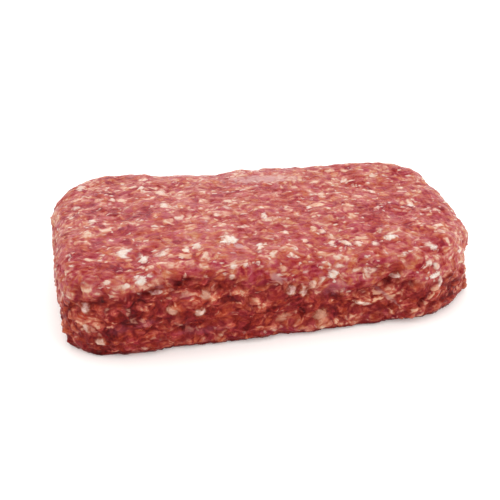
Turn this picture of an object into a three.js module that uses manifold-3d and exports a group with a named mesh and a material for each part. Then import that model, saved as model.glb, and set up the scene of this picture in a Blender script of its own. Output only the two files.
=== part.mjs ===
// A slab of raw minced meat, pressed in a bag and turned out whole: a low loaf with round corners,
// a smooth uneven top, lumpy sides and a flat underside, with loose lumps along its foot.
// Millimetres, +Z up, the long side along X and the front towards -Y. It rests on z = 0.
import * as THREE from "three";
import { ImprovedNoise } from "three/addons/math/ImprovedNoise.js";
import Module from "manifold-3d";

const wasm = await Module();
wasm.setup();

// The slab's corners as seen from above, in order round it: where the straight sides would meet,
// how high the top is there, and the radius that rounds the corner. Its left end is deeper and
// taller at the front than its right end, because it was pressed by hand.
const CORNERS = [
  { x: -102, y: -62, height: 45, round: 27 },
  { x: 109, y: -55, height: 37, round: 38 },
  { x: 109, y: 51, height: 41, round: 31 },
  { x: -114, y: 65, height: 40, round: 36 },
];

// The height that the wall's profile is drawn for
const HEIGHT = 42;

// The edge between top and sides, and the foot
const SHOULDER = 15.5;
const FOOT = 6;

// How finely the surface is divided
const CELLS_LONG = 62;
const CELLS_WIDE = 34;
const CELLS_DOWN = 16;

// Broad unevenness of the pressed mass: size across and depth
const HEAVE_SIZE = 46;
const HEAVE_DEPTH = 1.1;

// Lumps: clusters of mince that stand out, more on the sides than on the pressed top
const LUMP_SIZE = 17;
const LUMP_DEPTH_TOP = 0.55;
const LUMP_DEPTH_SIDE = 1.6;

// Granules: the mince itself
const GRANULE_SIZE = 7;
const GRANULE_DEPTH_TOP = 0.7;
const GRANULE_DEPTH_SIDE = 1.5;

// Hollows and swells of the top, by place, reach along X and Y, and height
const TOP_FORMS = [
  { x: -21, y: 52, reachX: 20, reachY: 16, height: -2.4 },
  { x: -72, y: 48, reachX: 30, reachY: 16, height: 1.4 },
  { x: 50, y: 42, reachX: 44, reachY: 12, height: 1.8 },
  { x: -30, y: -10, reachX: 45, reachY: 26, height: 1.0 },
  { x: 32, y: -42, reachX: 30, reachY: 12, height: -1.4 },
  { x: 88, y: 8, reachX: 22, reachY: 34, height: -1.4 },
];

// Hollows and swells of the sides, by place, reach and how far the wall moves out
const SIDE_FORMS = [
  { x: -110, y: 42, z: 30, reach: 12, out: -2 },
  { x: -64, y: -62, z: 20, reach: 18, out: 1.6 },
  { x: -56, y: -60, z: 35, reach: 9, out: -1.8 },
  { x: -36, y: -60, z: 34, reach: 10, out: -2.2 },
  { x: -14, y: -59, z: 34, reach: 9, out: -1.6 },
  { x: 8, y: -59, z: 16, reach: 14, out: 1.2 },
  { x: 32, y: -59, z: 24, reach: 15, out: -2.2 },
  { x: 78, y: -56, z: 16, reach: 14, out: 1.8 },
  { x: 92, y: -48, z: 30, reach: 10, out: -2 },
  { x: 110, y: -16, z: 18, reach: 30, out: 2.4 },
];

// Loose lumps that stand out along the foot: how many lie on which stretch of a side, how far each
// reaches and how far it stands out. Sides count from the front, anticlockwise, and a share runs
// from 0 to 1 along each.
const FOOT_LUMP_SEED = 11;
const FOOT_LUMP_HEIGHTS = [3, 9];
const FOOT_LUMPS = [
  { side: 0, from: 0.0, to: 0.2, count: 6, reach: 4.6, out: 2.4 },
  { side: 3, from: 0.8, to: 1.0, count: 3, reach: 4.6, out: 2 },
  { side: 0, from: 0.84, to: 1.0, count: 4, reach: 4.4, out: 2 },
  { side: 0, from: 0.2, to: 0.84, count: 7, reach: 4.4, out: 1.1 },
  { side: 1, from: 0.0, to: 1.0, count: 8, reach: 4.6, out: 1.6 },
  { side: 2, from: 0.0, to: 1.0, count: 14, reach: 4.8, out: 1.8 },
  { side: 3, from: 0.0, to: 0.8, count: 6, reach: 4.6, out: 1.4 },
];

// Where each noise is read, so that heaves, lumps and granules don't repeat each other
const HEAVE_SHIFT = 1.3;
const LUMP_SHIFT = 3.7;
const GRANULE_SHIFT = 9.1;
const NOISE_GAIN = 1.6;

const RED_MEAT = 0xa84a48;

const noise = new ImprovedNoise();

// Smooth noise from about -1 to 1, with features of the given size
function noiseAt(point, size, shift) {
  const scale = 1 / size;
  const [x, y, z] = [point.x, point.y, point.z].map((along) => along * scale);
  return NOISE_GAIN * noise.noise(x + shift, y + shift, z - shift);
}

// A repeatable draw from 0 to 1
function makeDraw(seed) {
  let state = seed;
  return () => {
    state = (state * 1664525 + 1013904223) % 4294967296;
    return state / 4294967296;
  };
}

// How far the outline turns at a corner, in radians
function turnAt(corner) {
  const [before, here, after] = [corner + 3, corner, corner + 1].map((k) => CORNERS[k % 4]);
  const arriving = Math.atan2(here.y - before.y, here.x - before.x);
  const leaving = Math.atan2(after.y - here.y, after.x - here.x);
  return (leaving - arriving + 2 * Math.PI) % (2 * Math.PI);
}

// The outline seen from above: four sides, each from the middle of one corner to the middle of the next
function outlinePoint(side, share) {
  const from = CORNERS[side];
  const to = CORNERS[(side + 1) % 4];
  const run = new THREE.Vector2(to.x - from.x, to.y - from.y);
  const whole = run.length();
  run.normalize();
  const outward = new THREE.Vector2(run.y, -run.x);
  const startTurn = turnAt(side) / 2;
  const endTurn = turnAt((side + 1) % 4) / 2;
  const startStraight = from.round * Math.tan(startTurn);
  const endStraight = whole - to.round * Math.tan(endTurn);
  const startArc = from.round * startTurn;
  const straight = endStraight - startStraight;
  const distance = share * (startArc + straight + to.round * endTurn);
  const along = (ahead, out) =>
    new THREE.Vector2(from.x, from.y).addScaledVector(run, ahead).addScaledVector(outward, out);
  const turned = (angle) =>
    outward.clone().multiplyScalar(Math.cos(angle)).addScaledVector(run, Math.sin(angle));
  if (distance < startArc) {
    const normal = turned((distance - startArc) / from.round);
    return { normal, point: along(startStraight, -from.round).addScaledVector(normal, from.round) };
  }
  if (distance < startArc + straight) {
    return { normal: outward, point: along(startStraight + distance - startArc, 0) };
  }
  const normal = turned((distance - startArc - straight) / to.round);
  return { normal, point: along(endStraight, -to.round).addScaledVector(normal, to.round) };
}

// How high the top is over a place, from the heights at the corners
function topHeight(x, y) {
  const across = THREE.MathUtils.clamp((x - CORNERS[3].x) / (CORNERS[2].x - CORNERS[3].x), 0, 1);
  const back = THREE.MathUtils.clamp((y - CORNERS[0].y) / (CORNERS[3].y - CORNERS[0].y), 0, 1);
  const front = THREE.MathUtils.lerp(CORNERS[0].height, CORNERS[1].height, across);
  const rear = THREE.MathUtils.lerp(CORNERS[3].height, CORNERS[2].height, across);
  return THREE.MathUtils.lerp(front, rear, back);
}

// The wall from the rim of the top down to the foot: x is how far in from the outline, y is the height
function wallProfile() {
  const curve = new THREE.SplineCurve([
    new THREE.Vector2(SHOULDER, HEIGHT),
    new THREE.Vector2(SHOULDER * 0.42, HEIGHT - SHOULDER * 0.14),
    new THREE.Vector2(SHOULDER * 0.1, HEIGHT - SHOULDER * 0.52),
    new THREE.Vector2(0, HEIGHT * 0.52),
    new THREE.Vector2(0.4, HEIGHT * 0.28),
    new THREE.Vector2(FOOT * 0.35, FOOT * 0.45),
    new THREE.Vector2(FOOT, 0),
  ]);
  return curve.getSpacedPoints(CELLS_DOWN);
}

// Which stretch of the outline lies ahead of a place on the square from -1 to 1
function aheadOf(a, b) {
  const reach = Math.max(Math.abs(a), Math.abs(b));
  if (reach === 0) return { reach, side: 0, share: 0 };
  const u = a / reach;
  const v = b / reach;
  if (v === -1) return { reach, side: 0, share: (u + 1) / 2 };
  if (u === 1) return { reach, side: 1, share: (v + 1) / 2 };
  if (v === 1) return { reach, side: 2, share: (1 - u) / 2 };
  return { reach, side: 3, share: (1 - v) / 2 };
}

// The smooth slab: a grid over the top, rings down the wall and a flat underside
function smoothSlab() {
  const places = [];
  const faces = [];
  for (let j = 0; j <= CELLS_WIDE; j++) {
    for (let i = 0; i <= CELLS_LONG; i++) {
      const { reach, side, share } = aheadOf((2 * i) / CELLS_LONG - 1, (2 * j) / CELLS_WIDE - 1);
      const { point, normal } = outlinePoint(side, share);
      const rim = point.addScaledVector(normal, -SHOULDER).multiplyScalar(reach);
      places.push(new THREE.Vector3(rim.x, rim.y, HEIGHT));
    }
  }
  const row = CELLS_LONG + 1;
  for (let j = 0; j < CELLS_WIDE; j++) {
    for (let i = 0; i < CELLS_LONG; i++) {
      const corner = j * row + i;
      faces.push([corner, corner + 1, corner + row + 1], [corner, corner + row + 1, corner + row]);
    }
  }

  // The rim of the top in order, with the stretch of outline that each of its points lies on
  const rim = [];
  for (let i = 0; i < CELLS_LONG; i++) rim.push({ index: i, side: 0, share: i / CELLS_LONG });
  for (let j = 0; j < CELLS_WIDE; j++) {
    rim.push({ index: j * row + CELLS_LONG, side: 1, share: j / CELLS_WIDE });
  }
  for (let i = 0; i < CELLS_LONG; i++) {
    rim.push({ index: CELLS_WIDE * row + CELLS_LONG - i, side: 2, share: i / CELLS_LONG });
  }
  for (let j = 0; j < CELLS_WIDE; j++) {
    rim.push({ index: (CELLS_WIDE - j) * row, side: 3, share: j / CELLS_WIDE });
  }

  let above = rim.map((r) => r.index);
  for (const step of wallProfile().slice(1)) {
    const ring = rim.map(({ side, share }) => {
      const { point, normal } = outlinePoint(side, share);
      const place = point.addScaledVector(normal, -step.x);
      return places.push(new THREE.Vector3(place.x, place.y, step.y)) - 1;
    });
    ring.forEach((below, k) => {
      const next = (k + 1) % ring.length;
      faces.push([above[k], below, ring[next]], [above[k], ring[next], above[next]]);
    });
    above = ring;
  }
  return { places, faces, foot: above };
}

// The outward normal at each place, from the faces round it
function normalsOf(places, faces) {
  const normals = places.map(() => new THREE.Vector3());
  for (const face of faces) {
    const [a, b, c] = face.map((k) => places[k]);
    const across = new THREE.Vector3().subVectors(b, a).cross(new THREE.Vector3().subVectors(c, a));
    face.forEach((k) => normals[k].add(across));
  }
  return normals.map((n) => n.normalize());
}

// A bell from 1 at its middle to 0 far away
function bell(squares) {
  return Math.exp(-squares);
}

// How far the top is lifted at a place, by its named hollows and swells
function topLift(place) {
  return TOP_FORMS.reduce((sum, form) => {
    const across = (place.x - form.x) / form.reachX;
    const deep = (place.y - form.y) / form.reachY;
    return sum + form.height * bell(across * across + deep * deep);
  }, 0);
}

// The loose lumps along the foot, one on each share of its stretch of the outline
function footLumps() {
  const draw = makeDraw(FOOT_LUMP_SEED);
  return FOOT_LUMPS.flatMap(({ side, from, to, count, reach, out }) =>
    Array.from({ length: count }, (_, k) => {
      const { point } = outlinePoint(side, THREE.MathUtils.lerp(from, to, (k + draw()) / count));
      const z = THREE.MathUtils.lerp(...FOOT_LUMP_HEIGHTS, draw());
      const size = 0.7 + 0.6 * draw();
      return { x: point.x, y: point.y, z, reach: reach * size, out: out * size };
    }),
  );
}

// How far each of these forms moves the wall at a place
function pushesAt(place, forms) {
  return forms.map((form) => {
    const away = place.distanceTo(new THREE.Vector3(form.x, form.y, form.z)) / form.reach;
    return form.out * bell(away * away);
  });
}

// Lumps and granules: rounded heads with narrow gaps between them
function relief(place, sideways) {
  const lumpDepth = THREE.MathUtils.lerp(LUMP_DEPTH_TOP, LUMP_DEPTH_SIDE, sideways);
  const granuleDepth = THREE.MathUtils.lerp(GRANULE_DEPTH_TOP, GRANULE_DEPTH_SIDE, sideways);
  const lump = noiseAt(place, LUMP_SIZE, LUMP_SHIFT);
  const granule = 0.5 - Math.abs(noiseAt(place, GRANULE_SIZE, GRANULE_SHIFT));
  return lump * lumpDepth + granule * granuleDepth;
}

// The slab with its unevenness, still resting on a flat underside
function unevenSlab() {
  const { places, faces, foot } = smoothSlab();
  const normals = normalsOf(places, faces);
  const lumps = footLumps();
  const moved = places.map((place, k) => {
    const normal = normals[k];
    const sideways = 1 - Math.max(0, normal.z);
    const offFloor = THREE.MathUtils.smoothstep(place.z, 0, FOOT);
    const broad = pushesAt(place, SIDE_FORMS).reduce((sum, push) => sum + push);
    const push = broad + Math.max(...pushesAt(place, lumps));
    const out = relief(place, sideways) + push * sideways;
    const share = place.z / HEIGHT;
    const heave = topLift(place) + HEAVE_DEPTH * noiseAt(place, HEAVE_SIZE, HEAVE_SHIFT);
    const made = place.clone();
    made.z = share * topHeight(place.x, place.y) + share * share * heave;
    made.addScaledVector(normal, out);
    made.z = Math.max(made.z * offFloor, 0);
    return made;
  });
  foot.forEach((k) => (moved[k].z = 0));
  const outline = foot.map((k) => new THREE.Vector2(moved[k].x, moved[k].y));
  const underside = THREE.ShapeUtils.triangulateShape(outline, []);
  const facingDown = underside.map(([a, b, c]) => [foot[c], foot[b], foot[a]]);
  return solidFrom(moved, [...faces, ...facingDown]);
}

// A closed solid from places and faces
function solidFrom(places, faces) {
  return new wasm.Manifold(
    new wasm.Mesh({
      numProp: 3,
      vertProperties: new Float32Array(places.flatMap((p) => [p.x, p.y, p.z])),
      triVerts: new Uint32Array(faces.flat()),
    }),
  );
}

// The solid as a three.js geometry, with its box centred on the origin and its foot on the floor
function geometryOf(solid) {
  const mesh = solid.getMesh();
  const geometry = new THREE.BufferGeometry();
  geometry.setAttribute("position", new THREE.BufferAttribute(new Float32Array(mesh.vertProperties), 3));
  geometry.setIndex(new THREE.BufferAttribute(new Uint32Array(mesh.triVerts), 1));
  geometry.computeBoundingBox();
  const { min, max } = geometry.boundingBox;
  geometry.translate(-(min.x + max.x) / 2, -(min.y + max.y) / 2, -min.z);
  geometry.computeVertexNormals();
  return geometry;
}

const block = new THREE.Mesh(
  geometryOf(unevenSlab()),
  new THREE.MeshStandardMaterial({ color: RED_MEAT, roughness: 0.45, metalness: 0 }),
);
block.name = "mince_block";

const slab = new THREE.Group();
slab.add(block);

export default slab;
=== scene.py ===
# The look of a slab of raw minced meat: granules of red meat with white fat between them, pressed
# smooth on top and open at the sides. Metres, +Z up, front towards -Y.
import math

import bpy
import numpy as np
from mathutils import Matrix, Vector, noise
from mathutils.bvhtree import BVHTree


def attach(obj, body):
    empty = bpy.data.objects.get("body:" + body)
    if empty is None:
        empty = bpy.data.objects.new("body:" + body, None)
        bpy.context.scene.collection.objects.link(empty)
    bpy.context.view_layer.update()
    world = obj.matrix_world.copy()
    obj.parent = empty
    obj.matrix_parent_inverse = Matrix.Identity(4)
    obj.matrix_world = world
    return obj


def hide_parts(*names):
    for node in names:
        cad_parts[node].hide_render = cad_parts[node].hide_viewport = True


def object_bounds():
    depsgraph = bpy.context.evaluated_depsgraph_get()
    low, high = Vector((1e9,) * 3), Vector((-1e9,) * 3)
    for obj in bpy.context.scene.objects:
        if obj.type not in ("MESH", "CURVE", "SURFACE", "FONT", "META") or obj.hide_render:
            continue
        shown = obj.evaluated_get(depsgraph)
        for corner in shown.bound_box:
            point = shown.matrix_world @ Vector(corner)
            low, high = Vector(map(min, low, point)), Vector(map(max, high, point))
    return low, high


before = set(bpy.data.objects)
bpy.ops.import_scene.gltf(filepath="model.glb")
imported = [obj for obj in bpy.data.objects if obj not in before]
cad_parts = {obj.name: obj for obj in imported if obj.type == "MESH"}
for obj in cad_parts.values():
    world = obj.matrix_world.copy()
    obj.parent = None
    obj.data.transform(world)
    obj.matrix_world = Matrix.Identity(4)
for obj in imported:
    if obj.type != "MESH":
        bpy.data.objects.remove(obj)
CAD_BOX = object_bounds()

MM = 0.001

# The camera: direction from the slab, distance, focal length and where the slab's middle falls in the
# square picture, all in the picture's own pixels
PICTURE = 500
AZIMUTH = -9.5
ELEVATION = 33.9
DISTANCE = 390 * MM
FOCAL = 690
CENTRE = (258.1, 271.2)
SENSOR = 36

# The mesh of the mince: how long its faces are, how often it is smoothed, and up to which height the
# underside is pressed flat
VOXEL = 1.0 * MM
SMOOTHING = 5
UNDERSIDE = 0.8 * MM

# The grains of three sizes, how they are drawn out along the slab, and the two noises that stir them:
# how large each is and how far it moves them
GRAINS = {"clump": 7.5 * MM, "granule": 3.8 * MM, "crumb": 2.0 * MM}
DRAWN_OUT = (0.72, 1.0, 1.0)
STIRRED_WIDE = (9 * MM, 7 * MM)
STIRRED_FINE = (2.2 * MM, 1.5 * MM)

# What each of a grain's three random numbers decides
PALENESS = 0
HEIGHT_AND_HUE = 1
TONE = 2

# How far inside a grain's edge its head is full, and its own colour, as shares of its size
HEAD_EDGE = 0.32
BLOTCH_EDGE = 0.22

# How deep the granules lie on the pressed top, on the sides and where the mass is open, and how much
# deeper at the ragged foot
DEPTH_TOP = 0.75 * MM
DEPTH_SIDE = 1.8 * MM
DEPTH_OPEN = 2.5 * MM
DEPTH_RAGGED = 0.8 * MM

# How far the highest granules stand out, as a share of that depth
HIGHEST = 0.4

# Shares of that depth: how high the heads of the grains stand, from the lowest to the highest, the slow
# lumps under them and pieces of fat, how deep hollows and the groove under the torn lip go, and the height
# that counts as the middle
HEADS = {"clump": (0.1, 0.6), "granule": (0.1, 0.45), "crumb": (0.02, 0.2)}
LUMPS = 0.7
ON_FAT = 0.7
IN_HOLLOWS = -0.9
IN_GROOVE = -0.35
MIDDLE = 0.4

# How large the slow lumps are
LUMP_SIZE = 9 * MM

# The slow swell of the whole surface: how wide and how deep
SWELL_SIZE = 12 * MM
SWELL = 3.2 * MM

# The relief fades out towards the floor, below this height
OFF_FLOOR = 2.5 * MM

# The mass spreads a little where it stands: how far out, and up to which height. In front it spreads
# further: the place across the picture, and how far in millimetres.
FOOT_OUT = 1.4 * MM
FOOT_HEIGHT = 11 * MM
FOOT_IN_FRONT = [
    (150, 0.0),
    (180, 2.4),
    (240, 1.2),
    (285, 2.6),
    (345, 3.6),
    (375, 3.0),
    (405, 1.0),
    (430, 0.0),
]

# A piece seen in the picture colours nothing that lies higher or deeper than this from its middle
PIECE_REACH = 6 * MM

# Colours of the meat from its darkest to its palest grains, where it was pressed and where it is open
PRESSED = [
    (0.08, (0.185, 0.006, 0.012)),
    (0.20, (0.245, 0.015, 0.020)),
    (0.37, (0.318, 0.044, 0.041)),
    (0.50, (0.375, 0.084, 0.066)),
    (0.63, (0.430, 0.140, 0.106)),
    (0.80, (0.510, 0.268, 0.205)),
    (0.95, (0.570, 0.395, 0.318)),
]
OPENED = [
    (0.08, (0.100, 0.003, 0.004)),
    (0.20, (0.155, 0.006, 0.007)),
    (0.37, (0.235, 0.017, 0.014)),
    (0.50, (0.310, 0.033, 0.024)),
    (0.63, (0.395, 0.066, 0.046)),
    (0.80, (0.500, 0.150, 0.095)),
    (0.95, (0.600, 0.335, 0.235)),
]

# The meat is tinted between the first two of these, some clumps with the third, and the last is the
# painted shade in gaps, hollows, the groove and at the foot
VIOLET = (0.98, 0.84, 1.38)
ORANGE = (1.05, 1.10, 0.66)
TAN = (0.90, 1.12, 0.95)
PAINTED_SHADE_TINT = (0.45, 0.22, 0.24)

# Fat: small bits and larger white pieces where the mass was pressed and where it is open, fat with
# juice in it, orange fat, and the ring of stained meat round a piece
SMALL_FAT_PRESSED = (0.600, 0.465, 0.385)
SMALL_FAT_OPEN = (0.560, 0.300, 0.205)
WHITE_PRESSED = (0.670, 0.625, 0.560)
WHITE_OPEN = (0.900, 0.810, 0.710)
SOAKED_FAT = (0.620, 0.450, 0.360)
ORANGE_FAT = (0.560, 0.260, 0.155)
STAINED_MEAT = (0.480, 0.165, 0.085)

# Thin film, from pale to violet; the pale colour is also a painted sheen along the top back edge
PALE_FILM_AND_SHEEN = (0.610, 0.430, 0.405)
VIOLET_FILM = (0.300, 0.055, 0.085)

# How pale the red meat is on average, and how much each cause changes that. Where there are two numbers,
# the first is for pressed meat and the second for open meat.
MEAN_TONE = 0.47
TONE_OF_DRIFT = 0.70
TONE_OF_CLUMPS = (0.24, 0.36)
TONE_OF_GRANULES = 0.60
TONE_OF_CRUMBS = 0.40
TONE_OF_OPEN = 0.01
TONE_OF_FINE = (0.5, 0.8)
TONE_OF_SMEARS = 1.2
TONE_OF_PALE = 0.16
# The last is painted shade, making the meat in hollows darker
TONE_OF_HOLLOW_SHADE = -0.22

# Where the meat lies between violet and orange: how far noise and grains move it, and where it starts
HUE_OF_NOISE = 1.9
HUE_OF_GRANULES = 1.1
HUE_OF_CRUMBS = 0.7
HUE_START = -0.45
HUE_ADDED = 0.05

# Grains whose draw is above these are pale, or are fat: where fat is sparse and where it gathers
PALE_GRANULES = 0.80
PALE_CRUMBS = 0.78
FAT_GRANULES = (0.98, 0.94)
FAT_CRUMBS = (0.95, 0.86)

# Painted shade: how dark the gaps between grains, the hollows and the groove are painted where shade
# falls, and the heights between which the painted shade at the very foot fades out
SHADE_OF_GAPS = 0.35
SHADE_OF_WIDE_GAPS = 0.4
SHADE_OF_HOLLOWS = 0.45
SHADE_OF_GROOVE = 0.3
PAINTED_SHADE_AT_FOOT = (0.5 * MM, 4.0 * MM)

# How ragged the outlines of the bigger pieces are
RAGGED = 2.6

# Sizes of the noise in the colour: slow drift, fine grain, hue, where fat gathers, juice in the fat,
# ragged outlines and wet spots
DRIFT_SIZE = 13 * MM
FINE_SIZE = 1.3 * MM
HUE_SIZE = 2.6 * MM
GATHERED_SIZE = 20 * MM
SOAKED_SIZE = 1.8 * MM
RAGGED_SIZE = 2.2 * MM
WET_SIZE = 5 * MM

# Smears: the noise's size, and the steps at which it is read along the way the mass was smeared
SMEAR_SIZE = 1.7 * MM
SMEAR_STEP = 0.9 * MM
SMEAR_STEPS = (-2, -1, 0, 1, 2)

# The white surface under the slab, with a faint glow of its own
FLOOR_REACH = 4.0
FLOOR_COLOUR = (0.94, 0.91, 0.885)
FLOOR_GLOW = 0.07

# Light from all round, dimmer from one direction, and windows: name, place, size and power
DIM_FROM = (0.0, -0.92, 0.39)
SKY_BRIGHT = 1.75
SKY_DIM = 1.1
WINDOWS = [
    ("window", (-0.05, 0.80, 0.75), (0.5, 0.35), 1.8),
    ("side window", (0.75, -0.60, 0.40), (0.3, 0.3), 2.2),
]
WINDOWS_AIM_AT = (0, 0, 20 * MM)

# Patches of the whole mass that are darker or paler: place, length and width in the picture, in pixels,
# turn in degrees, and the change
PATCHES = [
    (110, 205, 130, 70, 0, -0.08),
    (140, 318, 76, 56, 0, -0.20),
    (80, 320, 40, 60, 0, 0.06),
    (90, 266, 60, 24, 0, 0.06),
    (110, 248, 90, 24, 0, 0.03),
    (205, 300, 70, 40, 0, 0.04),
    (250, 285, 60, 20, 0, 0.05),
    (445, 280, 50, 50, 0, 0.05),
    (270, 256, 110, 18, -6, -0.08),
    (215, 195, 80, 30, 0, -0.04),
    (160, 232, 60, 26, 10, -0.02),
    (385, 205, 110, 60, 0, -0.09),
    (425, 238, 50, 50, 0, -0.06),
    (372, 240, 50, 20, 0, -0.06),
    (250, 328, 80, 10, 5, -0.04),
    (452, 293, 40, 36, 30, -0.12),
    (425, 310, 40, 12, 15, -0.10),
    (340, 316, 90, 12, 5, -0.05),
]

# Where the pressed top ends and the torn front begins: points across and down the picture
TORN_FROM = [
    (50, 305),
    (75, 298),
    (110, 298),
    (135, 295),
    (150, 286),
    (165, 277),
    (200, 274),
    (250, 278),
    (290, 281),
    (320, 288),
    (345, 288),
    (370, 285),
    (385, 280),
    (410, 277),
    (440, 281),
    (465, 275),
]

# Down the picture from there, in pixels: between which the front goes from closed to open, how far that
# line strays, and the middle and the half width of the groove under it
FRONT_OPENS = (-5, 9)
FRONT_STRAYS = 7
GROOVE_MIDDLE = 6
GROOVE_WIDTH = 5

# Across the picture, in pixels: where the sole of the front begins, and where the left end's ragged foot
# fades out
SOLE_BEGINS = (110, 160)
LEFT_END = (105, 145)

# Heights: between which the sole of the front fades out and how far that line strays, between which the
# ragged foot fades out, and up to which the other sides are more open
SOLE_HEIGHTS = (3 * MM, 9 * MM)
SOLE_STRAYS = 2 * MM
RAGGED_HEIGHTS = (6 * MM, 15 * MM)
OPEN_HEIGHTS = (8 * MM, 26 * MM)

# How far a face is turned up, to the front, to the front at the foot and to the right: from not yet to
# fully
TURNED_UP = (0.35, 0.9)
TURNED_FRONT = (0.15, 0.45)
FOOT_TURNED_FRONT = (0.1, 0.5)
TURNED_RIGHT = (0.3, 0.8)

# How far the sole and the right end stay closed, and how open the other sides are at most
SOLE_CLOSED = 0.6
RIGHT_END_CLOSED = 0.6
SIDES_OPEN = 0.85

# How strong the smears are inside the rim, and where the rim begins and is full, as a share of the slab
SMEARS_INSIDE = 0.3
RIM = (0.6, 0.95)

# Slow noise over the mass, its size and where it is read: how ragged the torn parts are, wide and narrow,
# the narrow one's share, and how rough the outlines of hollows are
RAGGED_WIDE = (22 * MM, 4.0)
RAGGED_NARROW = (8 * MM, 9.0)
NARROW_SHARE = 0.6
ROUGH = (3.5 * MM, 2.0)

# Pieces of fat and film seen in the picture: place, length and width there, in pixels, turn in degrees,
# and how far the colour goes from cream to orange
FAT_PIECES = [
    (123, 253, 15, 11, 5, 0.0),
    (144, 258, 10, 7, 20, 0.1),
    (140, 280, 14, 9, -15, 0.0),
    (126, 287, 8, 5, 30, 0.2),
    (107, 282, 7, 5, 10, 0.3),
    (156, 293, 13, 4, 0, 0.1),
    (85, 309, 10, 7, 40, 0.1),
    (86, 329, 6, 10, 20, 0.4),
    (100, 343, 9, 7, 0, 0.5),
    (229, 240, 18, 9, 5, 0.0),
    (234, 267, 9, 5, 0, 0.2),
    (246, 265, 7, 5, 20, 0.2),
    (197, 246, 10, 6, 15, 0.2),
    (186, 251, 8, 5, 0, 0.3),
    (163, 205, 9, 6, 10, 0.3),
    (161, 192, 11, 7, 25, 0.4),
    (141, 189, 6, 6, 0, 0.2),
    (93, 222, 9, 6, 35, 0.1),
    (81, 188, 8, 6, 40, 0.3),
    (201, 313, 10, 8, -20, 0.3),
    (172, 311, 11, 9, 0, 0.8),
    (206, 295, 9, 8, 30, 0.7),
    (232, 277, 7, 6, 0, 0.4),
    (292, 290, 12, 8, 10, 0.2),
    (304, 292, 8, 8, 20, 0.3),
    (313, 285, 8, 7, 0, 0.6),
    (333, 275, 12, 7, 35, 0.1),
    (283, 317, 13, 8, -10, 0.9),
    (321, 315, 13, 9, 10, 0.9),
    (362, 303, 20, 4, -20, 0.3),
    (391, 237, 17, 5, 0, 0.0),
    (395, 277, 10, 6, 10, 0.2),
    (436, 276, 14, 5, 5, 0.0),
    (441, 283, 5, 12, -10, 0.0),
    (430, 263, 9, 7, 0, 0.3),
    (437, 266, 7, 7, 40, 0.3),
    (434, 247, 8, 6, 0, 0.0),
    (460, 251, 7, 5, 0, 0.1),
    (411, 204, 7, 6, 0, 0.2),
    (344, 180, 8, 5, 0, 0.4),
    (309, 207, 6, 5, 0, 0.2),
    (372, 191, 7, 4, 10, 0.3),
    (286, 232, 6, 4, 0, 0.3),
    (216, 215, 7, 4, 20, 0.4),
    (112, 200, 6, 4, 30, 0.4),
    (358, 243, 9, 5, 0, 0.3),
    (346, 243, 6, 7, 60, 0.4),
    (332, 242, 7, 6, 0, 0.3),
    (323, 231, 8, 5, 10, 0.4),
    (264, 216, 7, 7, 0, 0.1),
    (260, 246, 7, 6, 0, 0.1),
    (305, 240, 7, 6, 0, 0.5),
]
# Thin film, and a painted sheen along the top back edge (the long first piece): the same numbers, the last
# one from pale sheen to violet
FILM_AND_SHEEN_PIECES = [
    # Pale film with a painted sheen along the top back edge, standing in for a reflection
    (262, 179, 84, 9, 3, 0.0),
    (240, 246, 14, 6, -20, 0.1),
    (279, 279, 9, 9, 60, 0.3),
    (185, 296, 30, 6, -8, 1.0),
    (392, 216, 8, 6, 0, 1.0),
    (235, 256, 30, 7, -25, 1.0),
    (160, 288, 12, 5, 0, 0.5),
    (335, 288, 24, 12, 20, 0.9),
    (387, 296, 48, 3, -42, 0.4),
    (120, 331, 20, 8, 10, 1.0),
    (146, 324, 24, 7, -10, 1.0),
    (205, 330, 60, 6, 5, 1.0),
]
# Hollows in the torn side, sunk into the relief and darkened with painted shade: the same numbers, the
# last one is how deep
HOLLOWS = [
    (98, 302, 40, 22, 30, 0.4),
    (128, 322, 34, 20, 0, 0.4),
    (152, 292, 62, 8, 6, 0.6),
    (212, 288, 56, 8, -6, 0.6),
    (404, 288, 30, 9, 30, 0.5),
    (78, 292, 14, 12, 60, 0.7),
    (141, 303, 24, 12, 10, 0.8),
    (112, 336, 28, 14, -20, 0.35),
    (176, 284, 16, 18, 25, 0.5),
    (190, 279, 22, 6, -10, 0.7),
    (224, 301, 14, 9, 0, 0.8),
    (252, 303, 14, 16, 0, 0.7),
    (117, 268, 3, 16, 0, 1.0),
    (391, 280, 20, 12, 35, 1.0),
    (421, 304, 8, 12, -30, 0.8),
    (329, 293, 16, 14, 0, 0.6),
    (288, 300, 14, 8, 10, 0.6),
    (360, 284, 10, 8, 0, 0.4),
    (190, 328, 26, 7, 5, 0.6),
    (305, 309, 14, 6, 0, 0.6),
]


# Small helpers for node trees


def node(tree, kind, inputs=None, **settings):
    made = tree.nodes.new(kind)
    for name, value in settings.items():
        setattr(made, name, value)
    for name, value in (inputs or {}).items():
        socket = made.inputs[name]
        if isinstance(value, bpy.types.NodeSocket):
            tree.links.new(value, socket)
        else:
            socket.default_value = value
    return made


def calc(tree, operation, *values, clamp=False):
    made = node(tree, "ShaderNodeMath", dict(enumerate(values)), operation=operation)
    made.use_clamp = clamp
    return made.outputs[0]


def vector(tree, operation, first, second):
    """Two vectors added, subtracted or multiplied, or one vector scaled by a number."""
    second_name = "Scale" if operation == "SCALE" else 1
    made = node(tree, "ShaderNodeVectorMath", {0: first, second_name: second}, operation=operation)
    return made.outputs[0]


def ramp(tree, value, low, high, to_low=0.0, to_high=1.0):
    made = node(
        tree,
        "ShaderNodeMapRange",
        {"Value": value, "From Min": low, "From Max": high, "To Min": to_low, "To Max": to_high},
        interpolation_type="SMOOTHSTEP",
    )
    return made.outputs["Result"]


def colour_sockets(sockets):
    return [socket for socket in sockets if socket.type == "RGBA"]


def put_colour(tree, value, socket):
    if isinstance(value, bpy.types.NodeSocket):
        tree.links.new(value, socket)
    else:
        socket.default_value = (*value, 1.0)


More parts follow.
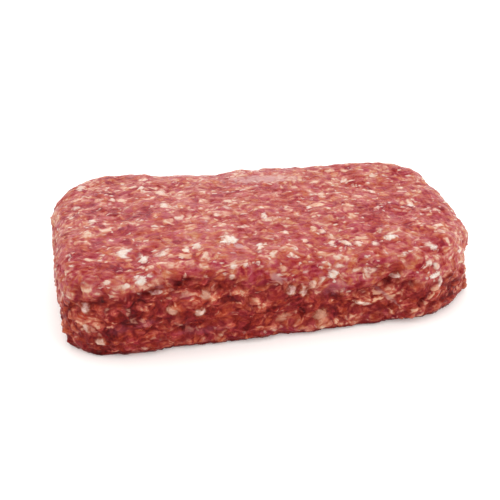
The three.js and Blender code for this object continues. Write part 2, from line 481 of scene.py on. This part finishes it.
def mix(tree, share, first, second, blend_type="MIX"):
    made = node(tree, "ShaderNodeMix", {"Factor": share}, data_type="RGBA", blend_type=blend_type)
    for value, socket in zip((first, second), colour_sockets(made.inputs)):
        put_colour(tree, value, socket)
    return colour_sockets(made.outputs)[0]


def tinted(tree, colour, tint):
    return mix(tree, 1.0, colour, tint, "MULTIPLY")


def blend(tree, share, first, second):
    """A number between two others."""
    gap = calc(tree, "SUBTRACT", second, first)
    return calc(tree, "MULTIPLY_ADD", gap, share, first)


def centred(tree, value):
    return calc(tree, "SUBTRACT", value, 0.5)


def fog(tree, place, size, detail=2.0, roughness=0.5):
    """Smooth noise: first its value, then its colour."""
    inputs = {"Vector": place, "Scale": 1 / size, "Detail": detail, "Roughness": roughness}
    return node(tree, "ShaderNodeTexNoise", inputs).outputs


def centred_fog(tree, place, size, detail=2.0, roughness=0.5):
    return centred(tree, fog(tree, place, size, detail, roughness)[0])


def cells(tree, place, size, feature="F1"):
    inputs = {"Vector": place, "Scale": 1 / size, "Randomness": 1.0}
    return node(tree, "ShaderNodeTexVoronoi", inputs, feature=feature).outputs


def channels(tree, colour):
    return node(tree, "ShaderNodeSeparateXYZ", {"Vector": colour}).outputs


def palette(tree, tone, colours):
    made = node(tree, "ShaderNodeValToRGB", {"Fac": tone})
    bar = made.color_ramp
    while len(bar.elements) < len(colours):
        bar.elements.new(0.5)
    for element, (at, colour) in zip(bar.elements, colours):
        element.position = at
        element.color = (*colour, 1)
    return made.outputs["Color"]


def attribute(tree, name, output="Fac"):
    return node(tree, "ShaderNodeAttribute", attribute_name=name).outputs[output]


def new_material(name):
    material = bpy.data.materials.new(name)
    material.use_nodes = True
    tree = material.node_tree
    return material, tree, tree.nodes["Principled BSDF"]


# The grains, drawn alike for the relief and for the colour


def stirred(tree, place, size, reach):
    """The place, moved about by noise, so that what is drawn there has ragged outlines."""
    either_way = vector(tree, "SUBTRACT", fog(tree, place, size)["Color"], (0.5, 0.5, 0.5))
    return vector(tree, "ADD", place, vector(tree, "SCALE", either_way, reach))


def mince(tree, place):
    """The grains of each size at a place: their random numbers, how far in from the edge the place
    lies, and their rounded heads."""
    pressed = vector(tree, "MULTIPLY", place, DRAWN_OUT)
    loose = stirred(tree, stirred(tree, pressed, *STIRRED_WIDE), *STIRRED_FINE)
    look = {"place": place, "loose": loose}
    for name, size in GRAINS.items():
        edge = cells(tree, loose, size, "DISTANCE_TO_EDGE")["Distance"]
        look[name] = {
            "draws": channels(tree, cells(tree, loose, size)["Color"]),
            "edge": edge,
            "head": ramp(tree, edge, 0.0, HEAD_EDGE),
        }
    return look


def chosen(tree, grain, channel, limit, softness):
    """1 inside the grains whose draw is above the limit, with soft edges."""
    picked = calc(tree, "GREATER_THAN", grain["draws"][channel], limit)
    return calc(tree, "MULTIPLY", picked, ramp(tree, grain["edge"], 0.0, softness))


def blotch(tree, grain, channel):
    """The grain's draw, from -0.5 to 0.5, which fades out towards its edge."""
    inside = ramp(tree, grain["edge"], 0.0, BLOTCH_EDGE)
    return calc(tree, "MULTIPLY", centred(tree, grain["draws"][channel]), inside)


def heads(tree, look, name):
    """The heads of the grains of one size, each with its own height."""
    grain = look[name]
    own = blend(tree, grain["draws"][HEIGHT_AND_HUE], *HEADS[name])
    return calc(tree, "MULTIPLY", grain["head"], own)


# The camera, and where things fall in the picture


def camera_axes():
    turn = math.radians(AZIMUTH)
    tilt = math.radians(ELEVATION)
    back = Vector((math.sin(turn) * math.cos(tilt), -math.cos(turn) * math.cos(tilt), math.sin(tilt)))
    right = Vector((math.cos(turn), math.sin(turn), 0))
    return right, back.cross(right), back


def add_camera():
    right, up, back = camera_axes()
    data = bpy.data.cameras.new("camera")
    data.sensor_width = SENSOR
    data.lens = FOCAL / PICTURE * data.sensor_width
    data.shift_x = 0.5 - CENTRE[0] / PICTURE
    data.shift_y = CENTRE[1] / PICTURE - 0.5
    data.clip_start = 10 * MM
    made = bpy.data.objects.new("camera", data)
    turned = Matrix((right, up, back)).transposed().to_4x4()
    made.matrix_world = Matrix.Translation(back * DISTANCE) @ turned
    bpy.context.scene.collection.objects.link(made)
    bpy.context.scene.camera = made


def pixel_ray(u, v):
    """The camera's place, and the way in which a pixel looks from there."""
    right, up, back = camera_axes()
    ray = right * ((u - CENTRE[0]) / FOCAL) - up * ((v - CENTRE[1]) / FOCAL) - back
    return back * DISTANCE, ray.normalized()


def seen_at(places):
    """Where each point falls in the picture, in pixels across and down."""
    right, up, back = (np.array(axis) for axis in camera_axes())
    away = DISTANCE - places @ back
    return CENTRE[0] + FOCAL * (places @ right) / away, CENTRE[1] - FOCAL * (places @ up) / away


# The points of a mesh


def positions(mesh):
    places = np.empty(len(mesh.vertices) * 3)
    mesh.vertices.foreach_get("co", places)
    return places.reshape(-1, 3)


def normals(mesh):
    found = np.empty(len(mesh.vertices) * 3)
    mesh.vertices.foreach_get("normal", found)
    return found.reshape(-1, 3)


def put_positions(mesh, places):
    mesh.vertices.foreach_set("co", places.ravel())
    mesh.update()


def store(mesh, name, values):
    kind = "FLOAT_VECTOR" if values.ndim == 2 else "FLOAT"
    layer = mesh.attributes.new(name, kind, "POINT")
    layer.data.foreach_set("vector" if values.ndim == 2 else "value", values.ravel())


def smooth_step(value, low, high):
    share = np.clip((value - low) / (high - low), 0, 1)
    return share * share * (3 - 2 * share)


def wander(places, size, shift):
    """Slow noise from about -1 to 1 at each place."""
    return np.array([noise.noise(Vector(p) / size + Vector((shift, 0, 0))) for p in places])


# The mesh of the mince before its relief


def bake(made):
    """The object's modifiers applied for good."""
    graph = bpy.context.evaluated_depsgraph_get()
    mesh = bpy.data.meshes.new_from_object(made.evaluated_get(graph))
    made.modifiers.clear()
    made.data = mesh


def remeshed_copy(source):
    """A copy of the solid with even small faces and no facets."""
    mesh = source.data.copy()
    made = bpy.data.objects.new("mince", mesh)
    bpy.context.scene.collection.objects.link(made)
    remesh = made.modifiers.new("even faces", "REMESH")
    remesh.mode = "VOXEL"
    remesh.voxel_size = VOXEL
    soften = made.modifiers.new("soften", "SMOOTH")
    soften.factor = 0.5
    soften.iterations = SMOOTHING
    bake(made)
    return made


def flatten_underside(mesh):
    places = positions(mesh)
    facing = normals(mesh)
    under = (places[:, 2] < UNDERSIDE) & (facing[:, 2] < -0.3)
    places[under, 2] = 0
    places[:, 2] = np.maximum(places[:, 2], 0)
    put_positions(mesh, places)


def spread_foot(mesh):
    places = positions(mesh)
    facing = normals(mesh)
    across_px, _ = seen_at(places)
    low_down = 1 - smooth_step(places[:, 2], 1 * MM, FOOT_HEIGHT)
    in_front = smooth_step(-facing[:, 1], *FOOT_TURNED_FRONT)
    further = np.interp(across_px, *zip(*FOOT_IN_FRONT)) * MM * in_front
    places[:, :2] += facing[:, :2] * (low_down * (FOOT_OUT + further))[:, None]
    put_positions(mesh, places)


def inside_box(mesh):
    """Keeps the mesh inside the solid's box."""
    low, high = CAD_BOX
    places = np.clip(positions(mesh), np.array(low), np.array(high))
    put_positions(mesh, places)


# What the relief and the colour need to know at each point


def share_of_box(places):
    """How far out each point lies along X and Y, as shares of the slab's half length and half depth."""
    high = CAD_BOX[1]
    return places[:, 0] / high[0], places[:, 1] / high[1]


def smeared_along(places, facing):
    """The way in which the mass was smeared: round the slab, along its surface."""
    high = CAD_BOX[1]
    across, deep = share_of_box(places)
    slope_x = np.sign(across) * np.abs(across) ** 3 / high[0]
    slope_y = np.sign(deep) * np.abs(deep) ** 3 / high[1]
    slope_y += 1e-3 * np.where(deep < 0, -1, 1)
    along = np.stack([-slope_y, slope_x, np.zeros(len(places))], 1)
    along *= np.where(along[:, :1] < 0, -1, 1)
    along -= facing * (along * facing).sum(1, keepdims=True)
    return along / (np.linalg.norm(along, axis=1, keepdims=True) + 1e-9)


def torn_front(places, facing, ragged):
    """How open the torn front is at each point, and how many pixels below its beginning that lies."""
    across_px, down_px = seen_at(places)
    below = down_px - np.interp(across_px, *zip(*TORN_FROM))
    front = smooth_step(below + FRONT_STRAYS * ragged, *FRONT_OPENS)
    front *= smooth_step(-facing[:, 1], *TURNED_FRONT)
    sole = 1 - smooth_step(places[:, 2] + SOLE_STRAYS * ragged, *SOLE_HEIGHTS)
    sole *= smooth_step(across_px, *SOLE_BEGINS)
    return front * (1 - SOLE_CLOSED * sole), below


def open_elsewhere(places, facing, steep, ragged):
    """How open the other sides are: in patches, more so low down and less at the right end."""
    low_down = 1 - smooth_step(places[:, 2], *OPEN_HEIGHTS)
    patchy = steep * smooth_step(ragged + 0.5 * low_down, 0.0, 0.8) * SIDES_OPEN
    return patchy * (1 - RIGHT_END_CLOSED * smooth_step(facing[:, 0], *TURNED_RIGHT))


def ragged_foot(places):
    """How ragged the foot is: low down at the slab's left end only."""
    across_px, _ = seen_at(places)
    left_end = 1 - smooth_step(across_px, *LEFT_END)
    return left_end * (1 - smooth_step(places[:, 2], *RAGGED_HEIGHTS))


def near_rim(places):
    """How strong the smears are: weak in the middle of the top and full near its rim."""
    across, deep = share_of_box(places)
    ring = (np.abs(across) ** 4 + np.abs(deep) ** 4) ** 0.25
    return SMEARS_INSIDE + (1 - SMEARS_INSIDE) * smooth_step(ring, *RIM)


def room_inside(places, facing):
    """How far each point can move outward before it leaves the solid's box."""
    low, high = (np.array(corner) for corner in CAD_BOX)
    gap = np.where(facing > 0, high - places, places - low)
    free = gap / np.maximum(np.abs(facing), 1e-6)
    free[facing[:, 2] < 0, 2] = 1.0
    return np.clip(free.min(axis=1), 0, 5 * MM)


def mark_mass(mesh):
    """Stores each point's place before the relief, and how the mass is smeared, torn and open there."""
    places = positions(mesh)
    facing = normals(mesh)
    ragged = wander(places, *RAGGED_WIDE) + NARROW_SHARE * wander(places, *RAGGED_NARROW)
    steep = 1 - smooth_step(facing[:, 2], *TURNED_UP)
    front, below = torn_front(places, facing, ragged)
    store(mesh, "rest", places)
    store(mesh, "flow", smeared_along(places, facing))
    store(mesh, "side", steep)
    store(mesh, "open", np.maximum(front, open_elsewhere(places, facing, steep, ragged)))
    store(mesh, "ragged", ragged_foot(places))
    from_groove = (below - GROOVE_MIDDLE) / GROOVE_WIDTH
    store(mesh, "groove", front * np.exp(-(from_groove**2)))
    store(mesh, "rim", near_rim(places))
    store(mesh, "room", room_inside(places, facing))


def inside_piece(places, facing, tree, piece):
    """How deep each point lies in a piece seen in the picture, or nothing where the picture looks
    past the slab."""
    u, v, long_px, wide_px, degrees, _ = piece
    eye, ray = pixel_ray(u, v)
    centre, outward, _, away = tree.ray_cast(eye, ray)
    if centre is None:
        return None
    right, up, _ = camera_axes()
    turn = math.radians(degrees)
    seen_along = right * math.cos(turn) + up * math.sin(turn)
    along = (seen_along - outward * seen_along.dot(outward)).normalized()
    across = outward.cross(along)
    scale = away / FOCAL
    length = long_px * scale
    width = wide_px * scale / max(abs(across.dot(up)), 0.4)
    offset = places - np.array(centre)
    reach = np.hypot(offset @ np.array(along) / (length / 2), offset @ np.array(across) / (width / 2))
    near = np.abs(offset @ np.array(outward)) < PIECE_REACH
    return np.where(near & (facing @ np.array(outward) > 0.3), 1 - reach, -1.0)


def marked(mesh, pieces):
    """For each point of the mesh: how deep it lies in the nearest piece, from 1 at its middle through 0
    at its edge to -1 away from it, and that piece's last number."""
    places = positions(mesh)
    facing = normals(mesh)
    tree = BVHTree.FromPolygons([Vector(p) for p in places], [p.vertices for p in mesh.polygons])
    depth = np.full(len(places), -1.0)
    amount = np.zeros(len(places))
    for piece in pieces:
        inside = inside_piece(places, facing, tree, piece)
        if inside is None:
            continue
        deeper = inside > depth
        depth[deeper] = inside[deeper]
        amount[deeper] = piece[-1]
    return depth, amount


def mark_pieces(mesh):
    """Stores where the fat, the film and the painted sheen, the hollows and the patches of the picture
    lie.
    """
    depth, hue = marked(mesh, FAT_PIECES)
    store(mesh, "fat_near", depth)
    store(mesh, "fat_hue", hue)
    depth, hue = marked(mesh, FILM_AND_SHEEN_PIECES)
    store(mesh, "film_and_sheen_near", depth)
    store(mesh, "film_hue", hue)
    rough = wander(positions(mesh), *ROUGH)
    depth, amount = marked(mesh, HOLLOWS)
    store(mesh, "hollow", smooth_step(depth + 0.7 * rough, -0.1, 0.8) * amount)
    depth, amount = marked(mesh, PATCHES)
    store(mesh, "patch", smooth_step(depth + 0.4 * rough, 0.0, 0.8) * amount)


# The relief


def relief_height(tree, look, is_open, fat_near, hollow, groove):
    """Height of the surface, from about -0.5 to 0.5."""
    big = calc(tree, "MULTIPLY", heads(tree, look, "clump"), is_open)
    total = calc(tree, "ADD", big, heads(tree, look, "granule"))
    total = calc(tree, "ADD", total, heads(tree, look, "crumb"))
    lump = centred_fog(tree, look["place"], LUMP_SIZE)
    total = calc(tree, "MULTIPLY_ADD", lump, LUMPS, total)
    total = blend(tree, ramp(tree, fat_near, 0.0, 0.4), total, ON_FAT)
    total = calc(tree, "MULTIPLY_ADD", hollow, IN_HOLLOWS, total)
    total = calc(tree, "MULTIPLY_ADD", groove, IN_GROOVE, total)
    return calc(tree, "SUBTRACT", total, MIDDLE)


def named(tree, name, kind="FLOAT"):
    made = node(tree, "GeometryNodeInputNamedAttribute", {"Name": name}, data_type=kind)
    return made.outputs["Attribute"]


def relief_push(tree):
    """How far each point moves outward, so that even the highest granules stay inside the box."""
    place = named(tree, "rest", "FLOAT_VECTOR")
    is_open = named(tree, "open")
    marks = [named(tree, name) for name in ("fat_near", "hollow", "groove")]
    height = relief_height(tree, mince(tree, place), is_open, *marks)
    depth = blend(tree, named(tree, "side"), DEPTH_TOP, DEPTH_SIDE)
    depth = blend(tree, is_open, depth, DEPTH_OPEN)
    depth = calc(tree, "MULTIPLY_ADD", named(tree, "ragged"), DEPTH_RAGGED, depth)
    off_floor = ramp(tree, channels(tree, place)[2], 0.0, OFF_FLOOR)
    swell = calc(tree, "MULTIPLY", centred_fog(tree, place, SWELL_SIZE, 1.0), SWELL)
    push = calc(tree, "MULTIPLY", calc(tree, "MULTIPLY_ADD", height, depth, swell), off_floor)
    inset = calc(tree, "SUBTRACT", calc(tree, "MULTIPLY", depth, HIGHEST), named(tree, "room"))
    return calc(tree, "SUBTRACT", push, calc(tree, "MAXIMUM", inset, 0.0))


def relief_tree():
    tree = bpy.data.node_groups.new("relief", "GeometryNodeTree")
    tree.interface.new_socket("Geometry", in_out="INPUT", socket_type="NodeSocketGeometry")
    tree.interface.new_socket("Geometry", in_out="OUTPUT", socket_type="NodeSocketGeometry")
    source = tree.nodes.new("NodeGroupInput")
    result = tree.nodes.new("NodeGroupOutput")
    facing = tree.nodes.new("GeometryNodeInputNormal").outputs[0]
    offset = vector(tree, "SCALE", facing, relief_push(tree))
    moved = node(tree, "GeometryNodeSetPosition", {"Offset": offset})
    tree.links.new(source.outputs[0], moved.inputs["Geometry"])
    tree.links.new(moved.outputs[0], result.inputs[0])
    return tree


def mince_piece():
    made = remeshed_copy(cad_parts["mince_block"])
    flatten_underside(made.data)
    spread_foot(made.data)
    mark_mass(made.data)
    mark_pieces(made.data)
    relief = made.modifiers.new("relief", "NODES")
    relief.node_group = relief_tree()
    bake(made)
    inside_box(made.data)
    made.data.shade_smooth()
    return made


# The colour of the mince


def smears(tree, place, flow):
    """Noise drawn out along the way the mass was smeared, centred on 0."""
    total = None
    for step in SMEAR_STEPS:
        spot = vector(tree, "ADD", place, vector(tree, "SCALE", flow, step * SMEAR_STEP))
        value = fog(tree, spot, SMEAR_SIZE, 1.0)[0]
        total = value if total is None else calc(tree, "ADD", total, value)
    return centred(tree, calc(tree, "MULTIPLY", total, 1 / len(SMEAR_STEPS)))


def meat_tone(tree, look, is_open, hollow, fine):
    """How pale the red meat is, from 0 to 1: the whole drifts, and each grain has its own tone."""
    place = look["place"]
    closed = calc(tree, "SUBTRACT", 1.0, is_open)
    streak = calc(tree, "MULTIPLY", smears(tree, place, attribute(tree, "flow", "Vector")), closed)
    streak = calc(tree, "MULTIPLY", streak, attribute(tree, "rim"))
    pale_granules = chosen(tree, look["granule"], PALENESS, PALE_GRANULES, 0.3)
    pale_crumbs = chosen(tree, look["crumb"], PALENESS, PALE_CRUMBS, 0.3)
    pale = calc(tree, "ADD", pale_granules, pale_crumbs)
    drift = centred_fog(tree, place, DRIFT_SIZE, 3.0)
    tone = calc(tree, "MULTIPLY_ADD", drift, TONE_OF_DRIFT, MEAN_TONE)
    tone = calc(tree, "ADD", tone, attribute(tree, "patch"))
    in_clumps = blend(tree, is_open, *TONE_OF_CLUMPS)
    tone = calc(tree, "MULTIPLY_ADD", blotch(tree, look["clump"], TONE), in_clumps, tone)
    tone = calc(tree, "MULTIPLY_ADD", blotch(tree, look["granule"], TONE), TONE_OF_GRANULES, tone)
    tone = calc(tree, "MULTIPLY_ADD", blotch(tree, look["crumb"], TONE), TONE_OF_CRUMBS, tone)
    tone = calc(tree, "MULTIPLY_ADD", is_open, TONE_OF_OPEN, tone)
    tone = calc(tree, "MULTIPLY_ADD", fine, blend(tree, is_open, *TONE_OF_FINE), tone)
    tone = calc(tree, "MULTIPLY_ADD", streak, TONE_OF_SMEARS, tone)
    tone = calc(tree, "MULTIPLY_ADD", pale, TONE_OF_PALE, tone)
    # Painted shade: darker in the hollows
    return calc(tree, "MULTIPLY_ADD", hollow, TONE_OF_HOLLOW_SHADE, tone)


def meat_hue(tree, look, tone):
    """Where the meat lies between violet and orange, with pale meat kept near the middle."""
    of_granule = blotch(tree, look["granule"], HEIGHT_AND_HUE)
    of_crumb = blotch(tree, look["crumb"], HEIGHT_AND_HUE)
    noise_value = fog(tree, look["loose"], HUE_SIZE)[0]
    hue = calc(tree, "MULTIPLY_ADD", noise_value, HUE_OF_NOISE, HUE_START)
    hue = calc(tree, "MULTIPLY_ADD", of_granule, HUE_OF_GRANULES, hue)
    hue = calc(tree, "MULTIPLY_ADD", of_crumb, HUE_OF_CRUMBS, hue)
    hue = calc(tree, "MAXIMUM", hue, ramp(tree, tone, 0.4, 0.72, 0.0, 0.55))
    hue = calc(tree, "MINIMUM", hue, ramp(tree, tone, 0.5, 0.8, 1.0, 0.6))
    return calc(tree, "ADD", hue, HUE_ADDED, clamp=True)


def red_meat(tree, look, is_open, tone):
    meat = mix(tree, is_open, palette(tree, tone, PRESSED), palette(tree, tone, OPENED))
    meat = tinted(tree, meat, mix(tree, meat_hue(tree, look, tone), VIOLET, ORANGE))
    tan_clumps = chosen(tree, look["clump"], HEIGHT_AND_HUE, 0.8, 0.3)
    tan = calc(tree, "MULTIPLY", tan_clumps, blend(tree, is_open, 0.6, 1.0))
    tan = calc(tree, "MULTIPLY", tan, ramp(tree, tone, 0.55, 0.8, 1.0, 0.0))
    return mix(tree, tan, meat, tinted(tree, meat, TAN))


def with_small_fat(tree, look, is_open, soaked, surface):
    """Fat in bits of two sizes, gathered in some places, with pink soaked into it."""
    gathered = fog(tree, look["place"], GATHERED_SIZE)[0]
    crumbs_from = ramp(tree, gathered, 0.3, 0.7, *FAT_CRUMBS)
    granules_from = ramp(tree, gathered, 0.3, 0.7, *FAT_GRANULES)
    crumbs = chosen(tree, look["crumb"], PALENESS, crumbs_from, 0.32)
    granules = chosen(tree, look["granule"], PALENESS, granules_from, 0.36)
    fat = calc(tree, "MAXIMUM", crumbs, granules)
    fat = calc(tree, "MULTIPLY", fat, blend(tree, is_open, 1.0, 0.7))
    fat = calc(tree, "MULTIPLY", fat, ramp(tree, soaked, 0.62, 0.40, 0.3, 1.0))
    return mix(tree, fat, surface, mix(tree, is_open, SMALL_FAT_PRESSED, SMALL_FAT_OPEN))


def with_fat_pieces(tree, is_open, soaked, ragged, surface):
    """The bigger pieces of fat, with ragged edges and stained meat round them where the mass is open."""
    near = calc(tree, "MULTIPLY_ADD", ragged, RAGGED, attribute(tree, "fat_near"))
    white = mix(tree, is_open, WHITE_PRESSED, WHITE_OPEN)
    clean = mix(tree, ramp(tree, soaked, 0.38, 0.68), white, SOAKED_FAT)
    piece = mix(tree, attribute(tree, "fat_hue"), clean, ORANGE_FAT)
    ring = calc(tree, "MULTIPLY", ramp(tree, near, -0.5, 0.1, 0.0, 0.6), is_open)
    surface = mix(tree, ring, surface, STAINED_MEAT)
    return mix(tree, ramp(tree, near, -0.15, 0.55), surface, piece)


def with_film_and_sheen(tree, ragged, surface):
    near = calc(tree, "MULTIPLY_ADD", ragged, RAGGED, attribute(tree, "film_and_sheen_near"))
    # Pale film, with painted sheen along the top back edge, to violet film
    film = mix(tree, attribute(tree, "film_hue"), PALE_FILM_AND_SHEEN, VIOLET_FILM)
    return mix(tree, ramp(tree, near, -0.3, 0.7, 0.0, 0.5), surface, film)


def with_painted_shade(tree, look, is_open, hollow, surface):
    """Painted shade, darker in the gaps between the grains, in hollows, in the groove and at the very
    foot.
    """
    # Painted shade in the gaps between the grains and the clumps, where their heads leave off
    gap = calc(tree, "SUBTRACT", 1.0, look["granule"]["head"])
    wide_gap = calc(tree, "SUBTRACT", 1.0, look["clump"]["head"])
    shade = calc(tree, "MULTIPLY", gap, SHADE_OF_GAPS)
    shade = calc(tree, "MULTIPLY_ADD", wide_gap, SHADE_OF_WIDE_GAPS, shade)
    shade = calc(tree, "MULTIPLY", shade, blend(tree, is_open, 0.3, 0.9))
    # Painted shade in the hollows
    shade = calc(tree, "MULTIPLY_ADD", hollow, SHADE_OF_HOLLOWS, shade)
    # Painted shade in the groove under the torn lip
    shade = calc(tree, "MULTIPLY_ADD", attribute(tree, "groove"), SHADE_OF_GROOVE, shade)
    # Painted shade at the very foot, where the slab meets the floor
    low_down = ramp(tree, channels(tree, look["place"])[2], *PAINTED_SHADE_AT_FOOT, 1.0, 0.0)
    shade = calc(tree, "ADD", shade, low_down, clamp=True)
    return mix(tree, shade, surface, tinted(tree, surface, PAINTED_SHADE_TINT))


def meat_colour(tree, look, fine):
    is_open = attribute(tree, "open")
    hollow = attribute(tree, "hollow")
    soaked = fog(tree, look["place"], SOAKED_SIZE)[0]
    ragged = centred_fog(tree, look["loose"], RAGGED_SIZE, 3.0, 0.6)
    tone = meat_tone(tree, look, is_open, hollow, fine)
    surface = red_meat(tree, look, is_open, tone)
    surface = with_small_fat(tree, look, is_open, soaked, surface)
    surface = with_fat_pieces(tree, is_open, soaked, ragged, surface)
    surface = with_film_and_sheen(tree, ragged, surface)
    return with_painted_shade(tree, look, is_open, hollow, surface)


def meat_material():
    material, tree, shader = new_material("raw mince")
    look = mince(tree, attribute(tree, "rest", "Vector"))
    fine = centred_fog(tree, look["loose"], FINE_SIZE, 3.0, 0.6)
    tree.links.new(meat_colour(tree, look, fine), shader.inputs["Base Color"])
    wet = fog(tree, look["place"], WET_SIZE, 3.0)[0]
    tree.links.new(ramp(tree, wet, 0.3, 0.7, 0.24, 0.46), shader.inputs["Roughness"])
    grain = calc(tree, "MULTIPLY_ADD", look["crumb"]["head"], 0.4, fine)
    bump = node(tree, "ShaderNodeBump", {"Height": grain, "Strength": 0.6, "Distance": 0.4 * MM})
    tree.links.new(bump.outputs[0], shader.inputs["Normal"])
    shader.inputs["Specular IOR Level"].default_value = 0.08
    shader.inputs["Subsurface Weight"].default_value = 0.1
    shader.inputs["Subsurface Radius"].default_value = (1.0, 0.30, 0.20)
    shader.inputs["Subsurface Scale"].default_value = 1.2 * MM
    return material


# Floor and light


def add_floor():
    mesh = bpy.data.meshes.new("floor")
    turns = ((-1, -1), (1, -1), (1, 1), (-1, 1))
    corners = [(x * FLOOR_REACH, y * FLOOR_REACH, 0) for x, y in turns]
    mesh.from_pydata(corners, [], [(0, 1, 2, 3)])
    made = bpy.data.objects.new("floor", mesh)
    bpy.context.scene.collection.objects.link(made)
    material, _, shader = new_material("floor")
    shader.inputs["Base Color"].default_value = (*FLOOR_COLOUR, 1)
    shader.inputs["Roughness"].default_value = 0.8
    shader.inputs["Specular IOR Level"].default_value = 0.1
    shader.inputs["Emission Color"].default_value = (1, 0.99, 0.98, 1)
    shader.inputs["Emission Strength"].default_value = FLOOR_GLOW
    mesh.materials.append(material)


def add_sky():
    """Even white light from all sides but the front, where the room is darker."""
    world = bpy.data.worlds.new("studio")
    bpy.context.scene.world = world
    world.use_nodes = True
    tree = world.node_tree
    towards = node(tree, "ShaderNodeTexCoord").outputs["Generated"]
    likeness = node(tree, "ShaderNodeVectorMath", {0: towards, 1: DIM_FROM}, operation="DOT_PRODUCT")
    strength = ramp(tree, likeness.outputs["Value"], 0.1, 0.8, SKY_BRIGHT, SKY_DIM)
    tree.links.new(strength, tree.nodes["Background"].inputs["Strength"])
    tree.nodes["Background"].inputs["Color"].default_value = (1, 1, 1, 1)


def add_window(name, place, size, power):
    data = bpy.data.lights.new(name, "AREA")
    data.shape = "RECTANGLE"
    data.size, data.size_y = size
    data.energy = power
    made = bpy.data.objects.new(name, data)
    made.location = place
    made.rotation_euler = (Vector(place) - Vector(WINDOWS_AIM_AT)).to_track_quat("Z", "Y").to_euler()
    bpy.context.scene.collection.objects.link(made)


add_camera()
add_floor()
add_sky()
for window in WINDOWS:
    add_window(*window)

block = mince_piece()
block.data.materials.clear()
block.data.materials.append(meat_material())
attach(block, "root")
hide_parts("mince_block")

bpy.context.scene.view_settings.view_transform = "Standard"
